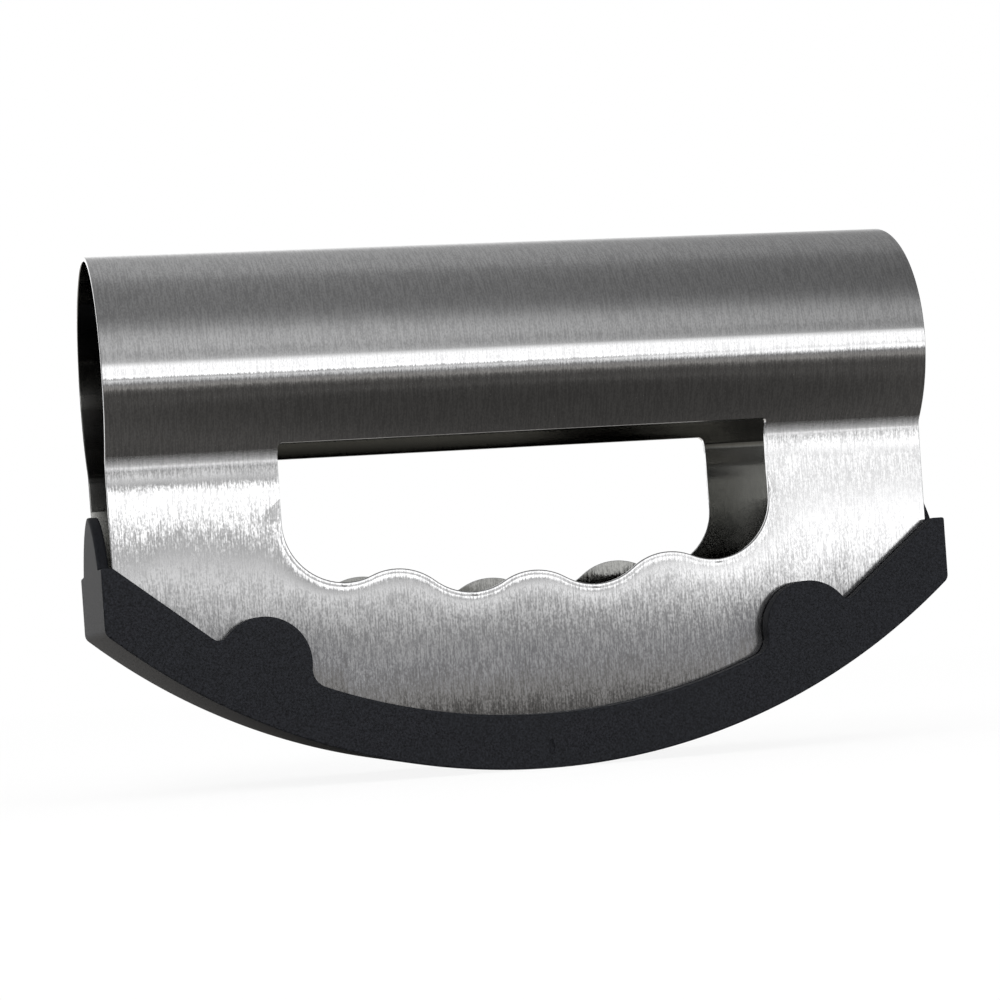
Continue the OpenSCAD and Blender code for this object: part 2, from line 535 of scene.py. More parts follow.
@dataclass(frozen=True)
class BrushedSteel:
    """Stainless sheet, brushed straight from the blades over the handle.

    A mark is given by its width and length. The hollow of the bend under the handle is duller than
    the rest, because no brush reached it, and dull_bend gives how much by height in millimetres.
    """

    name: str = "brushed_steel_finish"
    light: Colour = (0.785, 0.785, 0.79, 1.0)
    dark: Colour = (0.57, 0.57, 0.575, 1.0)
    contrast: Point = (0.36, 0.64)
    roughness: Point = (0.11, 0.15)
    stretch: float = 1.0
    short_mark: Point = (0.28 * MM, 0.55 * MM)
    long_mark: Point = (0.33 * MM, 4.0 * MM)
    mark_tilt: float = 0.012
    cloud: float = 12.0 * MM
    cloud_stretch: float = 0.4
    cloud_range: Point = (0.3, 0.7)
    dull_bend: Profile = ((67.2, 0.0), (67.9, 0.65), (68.7, 0.40), (70.4, 0.0))

    def build(self) -> bpy.types.Material:
        """Write the node tree.

        Returns:
            The finished material.
        """
        r = Recipe(self.name)
        shader = r.add("ShaderNodeBsdfPrincipled", Anisotropic=self.stretch)
        sideways = r.add("ShaderNodeCombineXYZ", X=1.0)
        across = r.add("ShaderNodeVectorTransform", vector_type="VECTOR", convert_from="OBJECT", convert_to="WORLD")
        r.join(sideways.outputs["Vector"], across.inputs["Vector"])
        r.join(across.outputs["Vector"], shader.inputs["Tangent"])

        layers = []
        for width, length in (self.short_mark, self.long_mark):
            layer = r.add("ShaderNodeTexNoise", Scale=1.0, Detail=1.0, Roughness=0.5)
            r.join(r.stretched((1 / width, 1 / length, 1 / length)), layer.inputs["Vector"])
            layers.append(r.math("SUBTRACT", layer.outputs["Fac"], 0.5))
        marks = r.math("MULTIPLY", r.math("ADD", *layers), math.sqrt(0.5))
        tone = r.add("ShaderNodeMix", data_type="RGBA", A=self.dark, B=self.light)
        share = r.profile(r.math("ADD", marks, 0.5), tuple(zip(self.contrast, (0.0, 1.0))))
        r.join(share, tone.inputs["Factor"])
        r.join(tone.outputs["Result"], shader.inputs["Base Color"])

        cloud = r.add("ShaderNodeTexNoise", Scale=1.0, Detail=2.0)
        long = self.cloud_stretch / self.cloud
        r.join(r.stretched((1 / self.cloud, long, long)), cloud.inputs["Vector"])
        rough = r.profile(cloud.outputs["Fac"], tuple(zip(self.cloud_range, self.roughness)))
        r.join(rough, shader.inputs["Roughness"])

        height = r.add("ShaderNodeSeparateXYZ")
        r.join(r.stretched((1 / MM,) * 3), height.inputs["Vector"])
        dull = r.profile(height.outputs["Z"], self.dull_bend)
        r.join(r.math("SUBTRACT", 1.0, dull), shader.inputs["Metallic"])

        surface = r.add("ShaderNodeNewGeometry")
        along = r.add("ShaderNodeVectorMath", operation="CROSS_PRODUCT")
        r.join(surface.outputs["Normal"], along.inputs[0])
        r.join(across.outputs["Vector"], along.inputs[1])
        lean = r.add("ShaderNodeVectorMath", operation="SCALE")
        r.join(along.outputs["Vector"], lean.inputs[0])
        r.join(r.math("MULTIPLY", marks, 2 * self.mark_tilt), lean.inputs["Scale"])
        leaning = r.add("ShaderNodeVectorMath", operation="ADD")
        r.join(surface.outputs["Normal"], leaning.inputs[0])
        r.join(lean.outputs["Vector"], leaning.inputs[1])
        unit = r.add("ShaderNodeVectorMath", operation="NORMALIZE")
        r.join(leaning.outputs["Vector"], unit.inputs[0])
        r.join(unit.outputs["Vector"], shader.inputs["Normal"])
        r.join(shader.outputs["BSDF"], r.out.inputs["Surface"])
        return r.material


@dataclass(frozen=True)
class GuardPlastic:
    """Dark blue-grey moulded plastic with a fine sprayed texture."""

    dark: Colour = (0.0022, 0.0024, 0.0036, 1.0)
    light: Colour = (0.0185, 0.0200, 0.0250, 1.0)
    speck: float = 0.40 * MM
    speck_range: Point = (0.3, 0.7)
    roughness: Point = (0.56, 0.72)
    ior: float = 1.34
    grain: float = 0.6
    grain_depth: float = 0.06 * MM

    def build(self) -> bpy.types.Material:
        """Write the node tree.

        Returns:
            The finished material.
        """
        r = Recipe("guard_plastic_finish")
        shader = r.add("ShaderNodeBsdfPrincipled", IOR=self.ior)
        specks = r.add("ShaderNodeTexNoise", Scale=1.0, Detail=3.0, Roughness=0.6)
        r.join(r.stretched((1 / self.speck,) * 3), specks.inputs["Vector"])
        tone = r.add("ShaderNodeMix", data_type="RGBA", A=self.dark, B=self.light)
        share = r.profile(specks.outputs["Fac"], tuple(zip(self.speck_range, (0.0, 1.0))))
        r.join(share, tone.inputs["Factor"])
        r.join(tone.outputs["Result"], shader.inputs["Base Color"])
        rough = r.profile(specks.outputs["Fac"], tuple(zip(self.speck_range, self.roughness)))
        r.join(rough, shader.inputs["Roughness"])
        bump = r.add("ShaderNodeBump", Strength=self.grain, Distance=self.grain_depth)
        r.join(specks.outputs["Fac"], bump.inputs["Height"])
        r.join(bump.outputs["Normal"], shader.inputs["Normal"])
        r.join(shader.outputs["BSDF"], r.out.inputs["Surface"])
        return r.material


@dataclass(frozen=True)
class PaleFloor:
    """White floor with a soft shadow.

    The camera and the steel look through most of it at the white backdrop, so that the guard stays
    in sight where it is pulled off downwards. The share goes by distance from the middle in metres.
    """

    colour: Colour = (0.90, 0.90, 0.90, 1.0)
    clear_share: Profile = ((0.30, 0.90), (1.50, 1.0))

    def build(self) -> bpy.types.Material:
        """Write the node tree.

        Returns:
            The finished material.
        """
        r = Recipe("pale_floor_finish")
        matte = r.add("ShaderNodeBsdfDiffuse", Color=self.colour)
        clear = r.add("ShaderNodeBsdfTransparent")
        mix = r.add("ShaderNodeMixShader")
        place = r.add("ShaderNodeTexCoord")
        reach = r.add("ShaderNodeVectorMath", operation="LENGTH")
        r.join(place.outputs["Object"], reach.inputs[0])
        share = r.profile(reach.outputs["Value"], self.clear_share)
        r.join(r.math("MULTIPLY", r.seen_directly(), share), mix.inputs["Fac"])
        r.join(matte.outputs["BSDF"], mix.inputs[1])
        r.join(clear.outputs["BSDF"], mix.inputs[2])
        r.join(mix.outputs["Shader"], r.out.inputs["Surface"])
        return r.material


@dataclass(frozen=True)
class TentCloth:
    """Glow of the studio tent, from the front horizon overhead to the back one.

    The first profile runs over the angle round the handle's axis in degrees, and the second
    over the share of a direction that points to the right.
    """

    over: Profile = (
        (0, 0.36), (3, 0.75), (5, 1.15), (9, 1.10), (12, 0.72), (18, 0.48), (22, 0.44), (27, 0.50),
        (33, 0.49), (40, 0.42), (46, 0.31), (52, 0.24), (58, 0.20), (66, 0.19), (76, 0.19), (88, 0.21),
        (95, 0.235), (101, 0.29), (108, 0.335), (130, 0.36), (142, 0.385), (149, 0.50), (156, 0.75),
        (163, 0.90), (170, 1.10), (177, 1.15), (180, 0.95),
    )  # fmt: skip
    sideways: Profile = (
        (-1.0, 0.05), (-0.9, 0.10), (-0.6, 0.9), (-0.3, 1.3), (0.13, 1.13), (0.25, 1.0), (0.37, 0.8), (0.6, 0.62),
        (1.0, 0.4),
    )  # fmt: skip

    def build(self) -> bpy.types.Material:
        """Write the node tree.

        Returns:
            The finished material.
        """
        r = Recipe("studio_tent_cloth")
        place = r.add("ShaderNodeTexCoord")
        unit = r.add("ShaderNodeVectorMath", operation="NORMALIZE")
        r.join(place.outputs["Object"], unit.inputs[0])
        parts = r.add("ShaderNodeSeparateXYZ")
        r.join(unit.outputs["Vector"], parts.inputs["Vector"])
        forward = r.math("MULTIPLY", parts.outputs["Y"], -1.0)
        turn = r.math("DEGREES", r.math("ARCTAN2", parts.outputs["Z"], forward))
        level = r.math("MULTIPLY", r.profile(turn, self.over), r.profile(parts.outputs["X"], self.sideways))
        return r.shine(level)


@dataclass(frozen=True)
class PanelCloth:
    """Glow of an upright panel by height in metres."""

    name: str
    glow: Profile

    def build(self) -> bpy.types.Material:
        """Write the node tree.

        Returns:
            The finished material.
        """
        r = Recipe(self.name)
        place = r.add("ShaderNodeTexCoord")
        parts = r.add("ShaderNodeSeparateXYZ")
        r.join(place.outputs["Object"], parts.inputs["Vector"])
        return r.shine(r.profile(parts.outputs["Z"], self.glow))


@dataclass(frozen=True)
class TableCard:
    """Glow of a card on the table by distance in metres from its dark middle."""

    name: str
    glow: Profile
    middle: Point = (0.0, 0.0)
    near_tint: Colour = (1.0, 0.965, 0.92, 1.0)
    far_tint: Colour = (0.98, 0.985, 1.04, 1.0)
    tint_reach: Point = (0.5, 1.5)

    def build(self) -> bpy.types.Material:
        """Write the node tree.

        Returns:
            The finished material.
        """
        r = Recipe(self.name)
        place = r.add("ShaderNodeTexCoord")
        shift = r.add("ShaderNodeMapping")
        shift.inputs["Location"].default_value = (-self.middle[0], -self.middle[1], 0.0)
        r.join(place.outputs["Object"], shift.inputs["Vector"])
        reach = r.add("ShaderNodeVectorMath", operation="LENGTH")
        r.join(shift.outputs["Vector"], reach.inputs[0])
        tint = r.add("ShaderNodeMix", data_type="RGBA", A=self.near_tint, B=self.far_tint)
        share = r.profile(reach.outputs["Value"], tuple(zip(self.tint_reach, (0.0, 1.0))))
        r.join(share, tint.inputs["Factor"])
        return r.shine(r.profile(reach.outputs["Value"], self.glow), tint.outputs["Result"])


EVEN = ((60.0, 0.0), (80.0, 0.0))

# Inside faces of the sheet: the brushed steel made darker, painted shade inside the handle and behind the walls.
SHADED_INSIDE_STEEL = BrushedSteel(
    "inside_steel_painted_shade",
    light=(0.41, 0.41, 0.395, 1.0),
    dark=(0.33, 0.33, 0.318, 1.0),
    roughness=(0.07, 0.10),
    dull_bend=EVEN,
)

# Cut faces along the top of the window: near black as painted shade; the rougher, less brushed finish is the bare
# cut's own.
WINDOW_TOP_SHADE = BrushedSteel(
    "window_top_cut_painted_shade",
    light=(0.08, 0.08, 0.08, 1.0),
    dark=(0.05, 0.05, 0.05, 1.0),
    roughness=(0.30, 0.40),
    stretch=0.3,
    dull_bend=EVEN,
)


def dress(piece: bpy.types.Object, material: bpy.types.Material) -> None:
    """Give a piece one material."""
    piece.data.materials.clear()
    piece.data.materials.append(material)


# The two pieces -------------------------------------------------------------------------


@dataclass
class FoldedSheet:
    """Steel sheet that is handle and blades at once.

    Each of the rim's steps is how far the window spreads and how deep below the wall's outer face,
    in millimetres. The spread fades out over rim_taper below rim_top_z.
    """

    length: float = 178.0 * MM
    thick: float = 1.0 * MM
    tube_r: float = 27.5 * MM
    tube_z: float = 87.0 * MM
    blade_y: float = 20.6 * MM
    neck_r: float = 3.0 * MM
    ease_r: float = 100.0 * MM
    ease_turn: float = 3.5
    edge_r: float = 136.7 * MM
    rocker_r: float = 140.0 * MM
    grind_h: float = 3.0 * MM
    edge_t: float = 0.2 * MM
    scoop_r: float = 13.0 * MM
    scoop_pitch: float = 26.9 * MM
    hump_r: float = 13.0 * MM
    scoop_arc_r: float = 200.0 * MM
    scoop_z: float = 37.75 * MM
    window_top_z: float = 71.4 * MM
    window_corner_r: float = 1.0 * MM
    end_rim: float = 0.22 * MM
    end_rim_steps: int = 3
    rim_top_z: float = 60.0 * MM
    rim_taper: float = 4.0 * MM
    rim_steps: tuple[Point, ...] = (
        (6.05, -9.4), (6.05, -0.001), (5.0, 0.0008), (4.0, 0.0045), (3.0, 0.0115), (2.0, 0.0235), (1.08, 0.0400),
        (0.96, 0.0620), (0.84, 0.0430), (0.26, 0.0590), (0.13, 0.09), (0.04, 0.17), (0.0, 0.30), (0.0, 0.82),
        (0.12, 0.97), (0.16, 1.1),
    )  # fmt: skip
    same_depth: float = 0.0003 * MM
    scored_at: tuple[float, ...] = (13.1 * MM, 41.3 * MM, 55.7 * MM, 71.9 * MM)
    pieces: list[bpy.types.Object] = field(default_factory=list)

    def fold(self) -> list[Stretch]:
        """Draw the outer face of the fold, seen along the handle.

        Returns:
            Its open outline, from the foot of one wall over the handle to the foot of the other.
        """
        tube = (0.0, self.tube_z)
        ease = math.radians(self.ease_turn)
        inner = self.ease_r - self.neck_r
        neck_y = self.blade_y + self.ease_r - inner * math.cos(ease)
        neck_z = self.tube_z - math.sqrt((self.tube_r + self.neck_r) ** 2 - neck_y**2)
        neck = (neck_y, neck_z)
        easing = (self.blade_y + self.ease_r, neck_z - inner * math.sin(ease))
        turn = heading(tube, neck)
        half: list[Stretch] = [
            Line((self.blade_y, 0.0), (self.blade_y, easing[1])),
            Arc(easing, self.ease_r, 180.0, 180.0 - self.ease_turn, 6),
            Arc(neck, self.neck_r, 180.0 - self.ease_turn, 180.0 + turn, 12),
            Arc(tube, self.tube_r, turn, 90.0, 64),
        ]
        return with_mirror(half)

    def window(self, spread: float) -> list[Stretch]:
        """Draw the finger window with its four scoops.

        Args:
            spread: How far the window is widened below the top of its rim.

        Returns:
            Its closed outline, seen along Y.

        Raises:
            ValueError: The rim's taper starts so low that the outline would fold back on itself.
        """
        scoops = []
        for step in (-1.5, -0.5, 0.5, 1.5):
            x = step * self.scoop_pitch
            rise = self.scoop_arc_r - math.sqrt(self.scoop_arc_r**2 - x * x)
            scoops.append((x, self.scoop_z + self.scoop_r + rise))
        reach = self.scoop_r + self.hump_r
        humps = [meet(right, reach, left, reach) for left, right in zip(scoops, scoops[1:])]
        scoop_r, hump_r = self.scoop_r + spread, self.hump_r - spread
        side = scoops[-1][0] + self.scoop_r
        wide = side + spread
        taper_z = self.rim_top_z - self.rim_taper
        if taper_z <= scoops[-1][1]:
            raise ValueError("the rim's taper reaches below the middle of the last scoop")
        corner = (side - self.window_corner_r, self.window_top_z - self.window_corner_r)
        right_half: list[Stretch] = [
            Arc(humps[1], hump_r, 90.0, heading(humps[1], scoops[2]), 8),
            Arc(scoops[2], scoop_r, heading(scoops[2], humps[1]) % 360, heading(scoops[2], humps[2]) % 360, 16),
            Arc(humps[2], hump_r, heading(humps[2], scoops[2]), heading(humps[2], scoops[3]), 16),
            Arc(scoops[3], scoop_r, heading(scoops[3], humps[2]) % 360, 360.0, 26),
            Line((wide, scoops[3][1]), (wide, taper_z)),
            Line((wide, taper_z), (side, self.rim_top_z)),
            Line((side, self.rim_top_z), (side, corner[1])),
            Arc(corner, self.window_corner_r, 0.0, 90.0, 8),
            Line((corner[0], self.window_top_z), (0.0, self.window_top_z)),
        ]
        return with_mirror(right_half)

    def window_tool(self) -> bpy.types.Object:
        """Make the solid that cuts the window through both walls and turns its rims in.

        Its outlines are traced one behind the other, from the front to the back, and bridged in pairs.

        Returns:
            The solid, in object mode.
        """
        front = [(spread * MM, depth * MM - self.blade_y) for spread, depth in self.rim_steps]
        steps = front + [(spread, -depth) for spread, depth in reversed(front)]
        loops = []
        for spread, depth in steps:
            loops.append(trace("window_tool", View.SIDE, depth, self.window(spread)))
            bpy.ops.object.mode_set(mode="OBJECT")
        deselect()
        for loop in loops:
            loop.select_set(True)
        bpy.context.view_layer.objects.active = loops[0]
        bpy.ops.object.join()
        tool = named("window_tool")
        bpy.ops.object.mode_set(mode="EDIT")
        for (_, depth), (_, next_depth) in zip(steps, steps[1:]):
            self.select_depths(tool, (depth, next_depth))
            bpy.ops.mesh.bridge_edge_loops()
        for depth in (steps[0][1], steps[-1][1]):
            self.select_depths(tool, (depth,))
            bpy.ops.mesh.edge_face_add()
        face_outwards()
        bpy.ops.object.mode_set(mode="OBJECT")
        return tool

    def select_depths(self, tool: bpy.types.Object, depths: tuple[float, ...]) -> None:
        """Select some of the outlines that a solid is bridged from.

        Args:
            tool: The solid, in edit mode.
            depths: Where the outlines lie along Y.
        """
        bpy.ops.mesh.select_mode(type="VERT")
        bpy.ops.mesh.select_all(action="DESELECT")
        mesh = bmesh.from_edit_mesh(tool.data)
        for vert in mesh.verts:
            vert.select_set(any(abs(vert.co.y - depth) < self.same_depth for depth in depths))
        mesh.select_flush(True)
        bmesh.update_edit_mesh(tool.data)

    def rocker(self) -> bpy.types.Object:
        """Spin the round body whose rim gives both blades their edge and ground bevel.

        Returns:
            The body, in object mode.
        """
        wide = 2 * self.tube_r
        top_r = self.edge_r - self.grind_h
        lip = self.blade_y - self.thick + self.edge_t
        profile = [(0.0, wide), (top_r, wide), (top_r, self.blade_y), (self.edge_r, lip)]
        profile += [(r, -y) for r, y in reversed(profile)]
        deselect()
        bpy.ops.mesh.primitive_plane_add(size=MM, location=(profile[0][0], profile[0][1], self.rocker_r))
        body = named("rocker_tool")
        bpy.ops.object.transform_apply(location=True, rotation=True, scale=True)
        bpy.ops.object.mode_set(mode="EDIT")
        bpy.ops.mesh.select_mode(type="VERT")
        bpy.ops.mesh.select_all(action="SELECT")
        bpy.ops.mesh.merge(type="CENTER")
        for (r0, y0), (r1, y1) in zip(profile, profile[1:]):
            bpy.ops.mesh.extrude_region_move(TRANSFORM_OT_translate={"value": (r1 - r0, y1 - y0, 0.0)})
        bpy.ops.mesh.select_all(action="SELECT")
        bpy.ops.mesh.spin(
            steps=288, angle=math.tau, center=(0.0, 0.0, self.rocker_r), axis=(0.0, 1.0, 0.0), use_auto_merge=True
        )
        bpy.ops.mesh.select_all(action="SELECT")
        bpy.ops.mesh.remove_doubles(threshold=OUTLINE_GAP)
        face_outwards()
        bpy.ops.object.mode_set(mode="OBJECT")
        return body

    def on_end(self, a: Vector, b: Vector) -> bool:
        """Tell the edges round the two ends of the sheet, above the guard, from the others.

        Args:
            a: One end point of the edge.
            b: Its other end point.

        Returns:
            True for an edge that lies on one end of the sheet.
        """
        reach = self.length / 2 - 0.05 * MM
        return abs(a.x) > reach and abs(b.x) > reach and a.x * b.x > 0 and min(a.z, b.z) > self.scoop_z

    def paint_window_top_shade(self, sheet: bpy.types.Object) -> None:
        """Paint the downward cut faces along the top of the window near black, as painted shade.

        Args:
            sheet: The sheet, with the painted shade of the window top in its last slot.
        """
        for face in sheet.data.polygons:
            if face.normal.z < -0.9 and abs(face.center.z - self.window_top_z) < 0.05 * MM:
                face.material_index = len(sheet.data.materials) - 1

    def build(self) -> bpy.types.Object:
        """Model the sheet.

        Returns:
            The sheet, with its finishes.
        """
        sheet = trace("steel_sheet", View.END, -self.length / 2, self.fold())
        bpy.ops.mesh.extrude_region_move(TRANSFORM_OT_translate={"value": (self.length, 0.0, 0.0)})
        bpy.ops.mesh.select_all(action="SELECT")
        bpy.ops.mesh.normals_make_consistent(inside=False)
        bpy.ops.object.mode_set(mode="OBJECT")
        top = max(sheet.data.polygons, key=lambda face: face.center.z)
        if top.normal.z < 0:
            bpy.ops.object.mode_set(mode="EDIT")
            bpy.ops.mesh.select_all(action="SELECT")
            bpy.ops.mesh.flip_normals()
            bpy.ops.object.mode_set(mode="OBJECT")
        for finish in (BrushedSteel(), SHADED_INSIDE_STEEL, WINDOW_TOP_SHADE):
            sheet.data.materials.append(finish.build())
        # The inside faces take the second slot, the darker steel of painted shade.
        wall = sheet.modifiers.new("wall", "SOLIDIFY")
        wall.material_offset = 1
        wall.thickness = self.thick
        wall.offset = -1.0
        wall.use_even_offset = True
        bpy.ops.object.modifier_apply(modifier=wall.name)
        carve(sheet, self.rocker(), Cut.KEEP_COMMON)
        carve(sheet, self.window_tool(), Cut.TAKE_AWAY)
        # The downward cut faces at the top of the window get the near-black painted shade.
        self.paint_window_top_shade(sheet)
        ends = round_edges(sheet, self.end_rim, self.end_rim_steps, self.on_end)
        log.info("steel sheet: %d end edges rounded", ends)
        score(sheet, self.scored_at)
        polish(sheet)
        self.pieces.append(sheet)
        return sheet

    def finish(self) -> None:
        """Tie the sheet to its body."""
        for piece in self.pieces:
            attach(piece, "chopper")
            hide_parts("blade_body")
            log.info("%s: %d faces", piece.name, len(piece.data.polygons))


@dataclass
class BladeGuard:
    """Moulded guard with two lobed side plates, a curved floor and arched end walls."""

    rocker_r: float = 140.0 * MM
    band_h: float = 11.5 * MM
    tip_z: float = 47.6 * MM
    tip_slope: float = 38.8
    lobe: Point = (59.3 * MM, 26.0 * MM)
    lobe_r: float = 9.8 * MM
    lobe_fillet_r: float = 4.0 * MM
    notch_r: float = 2.0 * MM
    corner_r: float = 2.0 * MM
    half_length: float = 91.7 * MM
    half_width: float = 24.7 * MM
    plate_t: float = 3.8 * MM
    end_t: float = 2.4 * MM
    floor_t: float = 3.0 * MM
    arch_w: float = 35.0 * MM
    arch_h: float = 11.9 * MM
    arch_tip_r: float = 6.0 * MM
    arch_flank_r: float = 26.0 * MM
    arch_sink: float = 1.03 * MM
    rail_t: float = 1.6 * MM
    rail_h: float = 4.0 * MM
    rail_y: float = 17.7 * MM
    gate: tuple[float, float, float] = (0.6 * MM, 0.4 * MM, 1.6 * MM)
    gate_z: float = 4.6 * MM
    soft_edge: float = 0.45 * MM
    soft_edge_steps: int = 3
    scored_at: tuple[float, ...] = (7.3 * MM, 27.1 * MM, 47.9 * MM, 60.7 * MM, 68.1 * MM, 79.3 * MM)
    pieces: list[bpy.types.Object] = field(default_factory=list)

    @property
    def rocker(self) -> Point:
        """Return the centre of the curved underside."""
        return (0.0, self.rocker_r)

    def side(self) -> list[Stretch]:
        """Draw the guard from the side.

        Returns:
            Its closed outline, seen along Y.
        """
        band_r = self.rocker_r - self.band_h
        fillet = meet(self.lobe, self.lobe_r + self.lobe_fillet_r, self.rocker, band_r - self.lobe_fillet_r)
        tip = (self.half_length - self.end_t, self.tip_z)
        rise = math.radians(self.tip_slope)
        along = Vector((math.cos(rise), math.sin(rise)))
        above = Vector((-along.y, along.x))
        gap = Vector(self.lobe) - Vector(tip)
        aside = gap.dot(above) - self.notch_r
        run = gap.dot(along) + math.sqrt((self.lobe_r + self.notch_r) ** 2 - aside * aside)
        notch = tuple(Vector(tip) + self.notch_r * above + run * along)
        inner_r = self.rocker_r - self.corner_r
        corner_x = self.half_length - self.corner_r
        corner = (corner_x, self.rocker_r - math.sqrt(inner_r**2 - corner_x**2))
        end_a = heading(self.rocker, corner)
        to_fillet = heading(self.rocker, fillet)
        to_notch = heading(self.lobe, notch)
        upper: list[Stretch] = [
            Arc(self.rocker, band_r, -90.0, to_fillet, 28),
            Arc(fillet, self.lobe_fillet_r, to_fillet, heading(fillet, self.lobe), 12),
            Arc(self.lobe, self.lobe_r, 180.0 + heading(fillet, self.lobe), to_notch, 30),
            Arc(notch, self.notch_r, 180.0 + to_notch, 270.0 + self.tip_slope, 8),
        ]
        foot = upper[-1].end
        outer: list[Stretch] = [
            Line(foot, tip),
            Line(tip, (self.half_length, self.tip_z)),
            Line((self.half_length, self.tip_z), (self.half_length, corner[1])),
            Arc(corner, self.corner_r, 0.0, end_a, 5),
            Arc(self.rocker, self.rocker_r, end_a, -90.0, 48),
        ]
        return with_mirror(upper + outer)

    def hollow(self) -> bpy.types.Object:
        """Make the solid that hollows the guard between its plates.

        Returns:
            The solid, in object mode.
        """
        half_x = self.half_length - self.end_t
        half_y = self.half_width - self.plate_t
        floor_r = self.rocker_r - self.floor_t
        start = -math.degrees(math.acos(half_x / floor_r))
        top = self.tip_z + 5 * MM
        low = self.rocker_r + floor_r * math.sin(math.radians(start))
        half: list[Stretch] = [
            Line((0.0, top), (half_x, top)),
            Line((half_x, top), (half_x, low)),
            Arc(self.rocker, floor_r, start, -90.0, 48),
        ]
        return prism("hollow_tool", View.SIDE, -half_y, 2 * half_y, with_mirror(half))

    def rail(self, y: float) -> bpy.types.Object:
        """Make one inner rail.

        Args:
            y: Where its middle lies along Y.

        Returns:
            The rail, in object mode.
        """
        low_r = self.rocker_r - self.floor_t / 2
        high_r = self.rocker_r - self.floor_t - self.rail_h
        half_x = self.half_length - self.end_t / 2
        low_a = -math.degrees(math.acos(half_x / low_r))
        high_a = -math.degrees(math.acos(half_x / high_r))
        low = Arc(self.rocker, low_r, -180.0 - low_a, low_a, 80)
        high = Arc(self.rocker, high_r, high_a, -180.0 - high_a, 80)
        outline = [low, Line(low.end, high.start), high, Line(high.end, low.start)]
        return prism("rail_tool", View.SIDE, y - self.rail_t / 2, self.rail_t, outline)

    def arch(self, side: int) -> bpy.types.Object:
        """Make the pointed arch of one end wall.

        Args:
            side: -1 for the left end and 1 for the right one.

        Returns:
            The arch, in object mode.
        """
        base = (self.arch_w / 2, self.tip_z)
        point = (0.0, self.tip_z + self.arch_h - self.arch_tip_r)
        flank = meet(base, self.arch_flank_r, point, self.arch_flank_r - self.arch_tip_r)
        turn = heading(flank, point)
        foot_a = heading(flank, base) - math.degrees(self.arch_sink / self.arch_flank_r)
        side_arc = Arc(flank, self.arch_flank_r, foot_a, turn, 21)
        half: list[Stretch] = [
            Line((0.0, side_arc.start[1]), side_arc.start),
            side_arc,
            Arc(point, self.arch_tip_r, turn, 90.0, 8),
        ]
        near_x = self.half_length - self.end_t if side > 0 else -self.half_length
        return prism("arch_tool", View.END, near_x, self.end_t, with_mirror(half))

    def gate_dimple(self) -> bpy.types.Object:
        """Make the solid that sinks the small moulding mark into the front plate.

        Returns:
            The solid, in object mode.
        """
        deselect()
        bpy.ops.mesh.primitive_uv_sphere_add(
            segments=32, ring_count=16, radius=1.0, location=(0.0, -self.half_width, self.gate_z)
        )
        dimple = named("gate_tool")
        bpy.ops.transform.resize(value=self.gate)
        bpy.ops.object.transform_apply(location=True, rotation=True, scale=True)
        return dimple

    def takes_rounding(self, a: Vector, b: Vector) -> bool:
        """Say if the edge between two points is rounded.

        All are but the short ones beside the feet of the arches. They run in line with the sharp ridges
        of the tips, and a rounding that ends at such a place folds the mesh over.

        Args:
            a: One end of the edge.
            b: Its other end.

        Returns:
            True where the edge is rounded.
        """
        inner_x = self.half_length - self.end_t
        inner_y = self.half_width - self.plate_t + MM
        return not all(
            abs(p.z - self.tip_z) < CLOSE and abs(abs(p.x) - inner_x) < CLOSE and abs(p.y) < inner_y for p in (a, b)
        )

    def build(self) -> bpy.types.Object:
        """Model the guard.

        Returns:
            The guard, without its finish.
        """
        guard = prism("guard_shell", View.SIDE, -self.half_width, 2 * self.half_width, self.side())
        carve(guard, self.hollow(), Cut.TAKE_AWAY)
        for side in (-1, 1):
            carve(guard, self.arch(side), Cut.ADD)
        merge_close(guard)
        rounded = round_edges(guard, self.soft_edge, self.soft_edge_steps, self.takes_rounding)
        for side in (-1, 1):
            carve(guard, self.rail(side * self.rail_y), Cut.ADD)
        carve(guard, self.gate_dimple(), Cut.TAKE_AWAY)
        log.info("guard: %d edges rounded", rounded)
        score(guard, self.scored_at)
        polish(guard)
        self.pieces.append(guard)
        return guard

    def finish(self) -> None:
        """Dress the guard and tie it to its body."""
        plastic = GuardPlastic().build()
        for piece in self.pieces:
            dress(piece, plastic)
            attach(piece, "guard")
            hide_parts("blade_guard")
            log.info("%s: %d faces", piece.name, len(piece.data.polygons))


# Studio ---------------------------------------------------------------------------------


@dataclass(frozen=True)
class SoftLamp:
    """Round soft lamp that hangs at a place and faces the object."""

    name: str
    place: tuple[float, float, float]
    power: float
    size: float = 1.2
    target: tuple[float, float, float] = (0.0, 0.0, 0.05)

    def hang(self) -> None:
        """Add the lamp."""
        deselect()
        bpy.ops.object.light_add(type="AREA", location=self.place)
        lamp = bpy.context.object
        lamp.name = self.name
        lamp.data.shape = "DISK"
        lamp.data.size = self.size
        lamp.data.energy = self.power
        aim = Vector(self.target) - Vector(self.place)
        lamp.rotation_euler = aim.to_track_quat("-Z", "Y").to_euler()
        lamp.visible_glossy = False


@dataclass(frozen=True)
class UprightPanel:
    """Upright panel in front of the object, from its lower left to its upper right corner."""

    name: str
    y: float
    low: Point
    high: Point
    glow: Profile

    def stand(self) -> bpy.types.Object:
        """Stand the panel up.

        Returns:
            The panel, without its cloth.
        """
        (x0, z0), (x1, z1) = self.low, self.high
        rim = [(x0, z0), (x1, z0), (x1, z1), (x0, z1)]
        outline: list[Stretch] = [Line(start, end) for start, end in zip(rim, rim[1:] + rim[:1])]
        panel = trace(self.name, View.SIDE, self.y, outline)
        bpy.ops.mesh.edge_face_add()
        bpy.ops.object.mode_set(mode="OBJECT")
        return panel


KEY_LAMP = SoftLamp("key_lamp", (-0.8, -1.5, 1.5), 20.0)
FILL_LAMP = SoftLamp("fill_lamp", (1.4, -1.2, 1.0), 9.0)

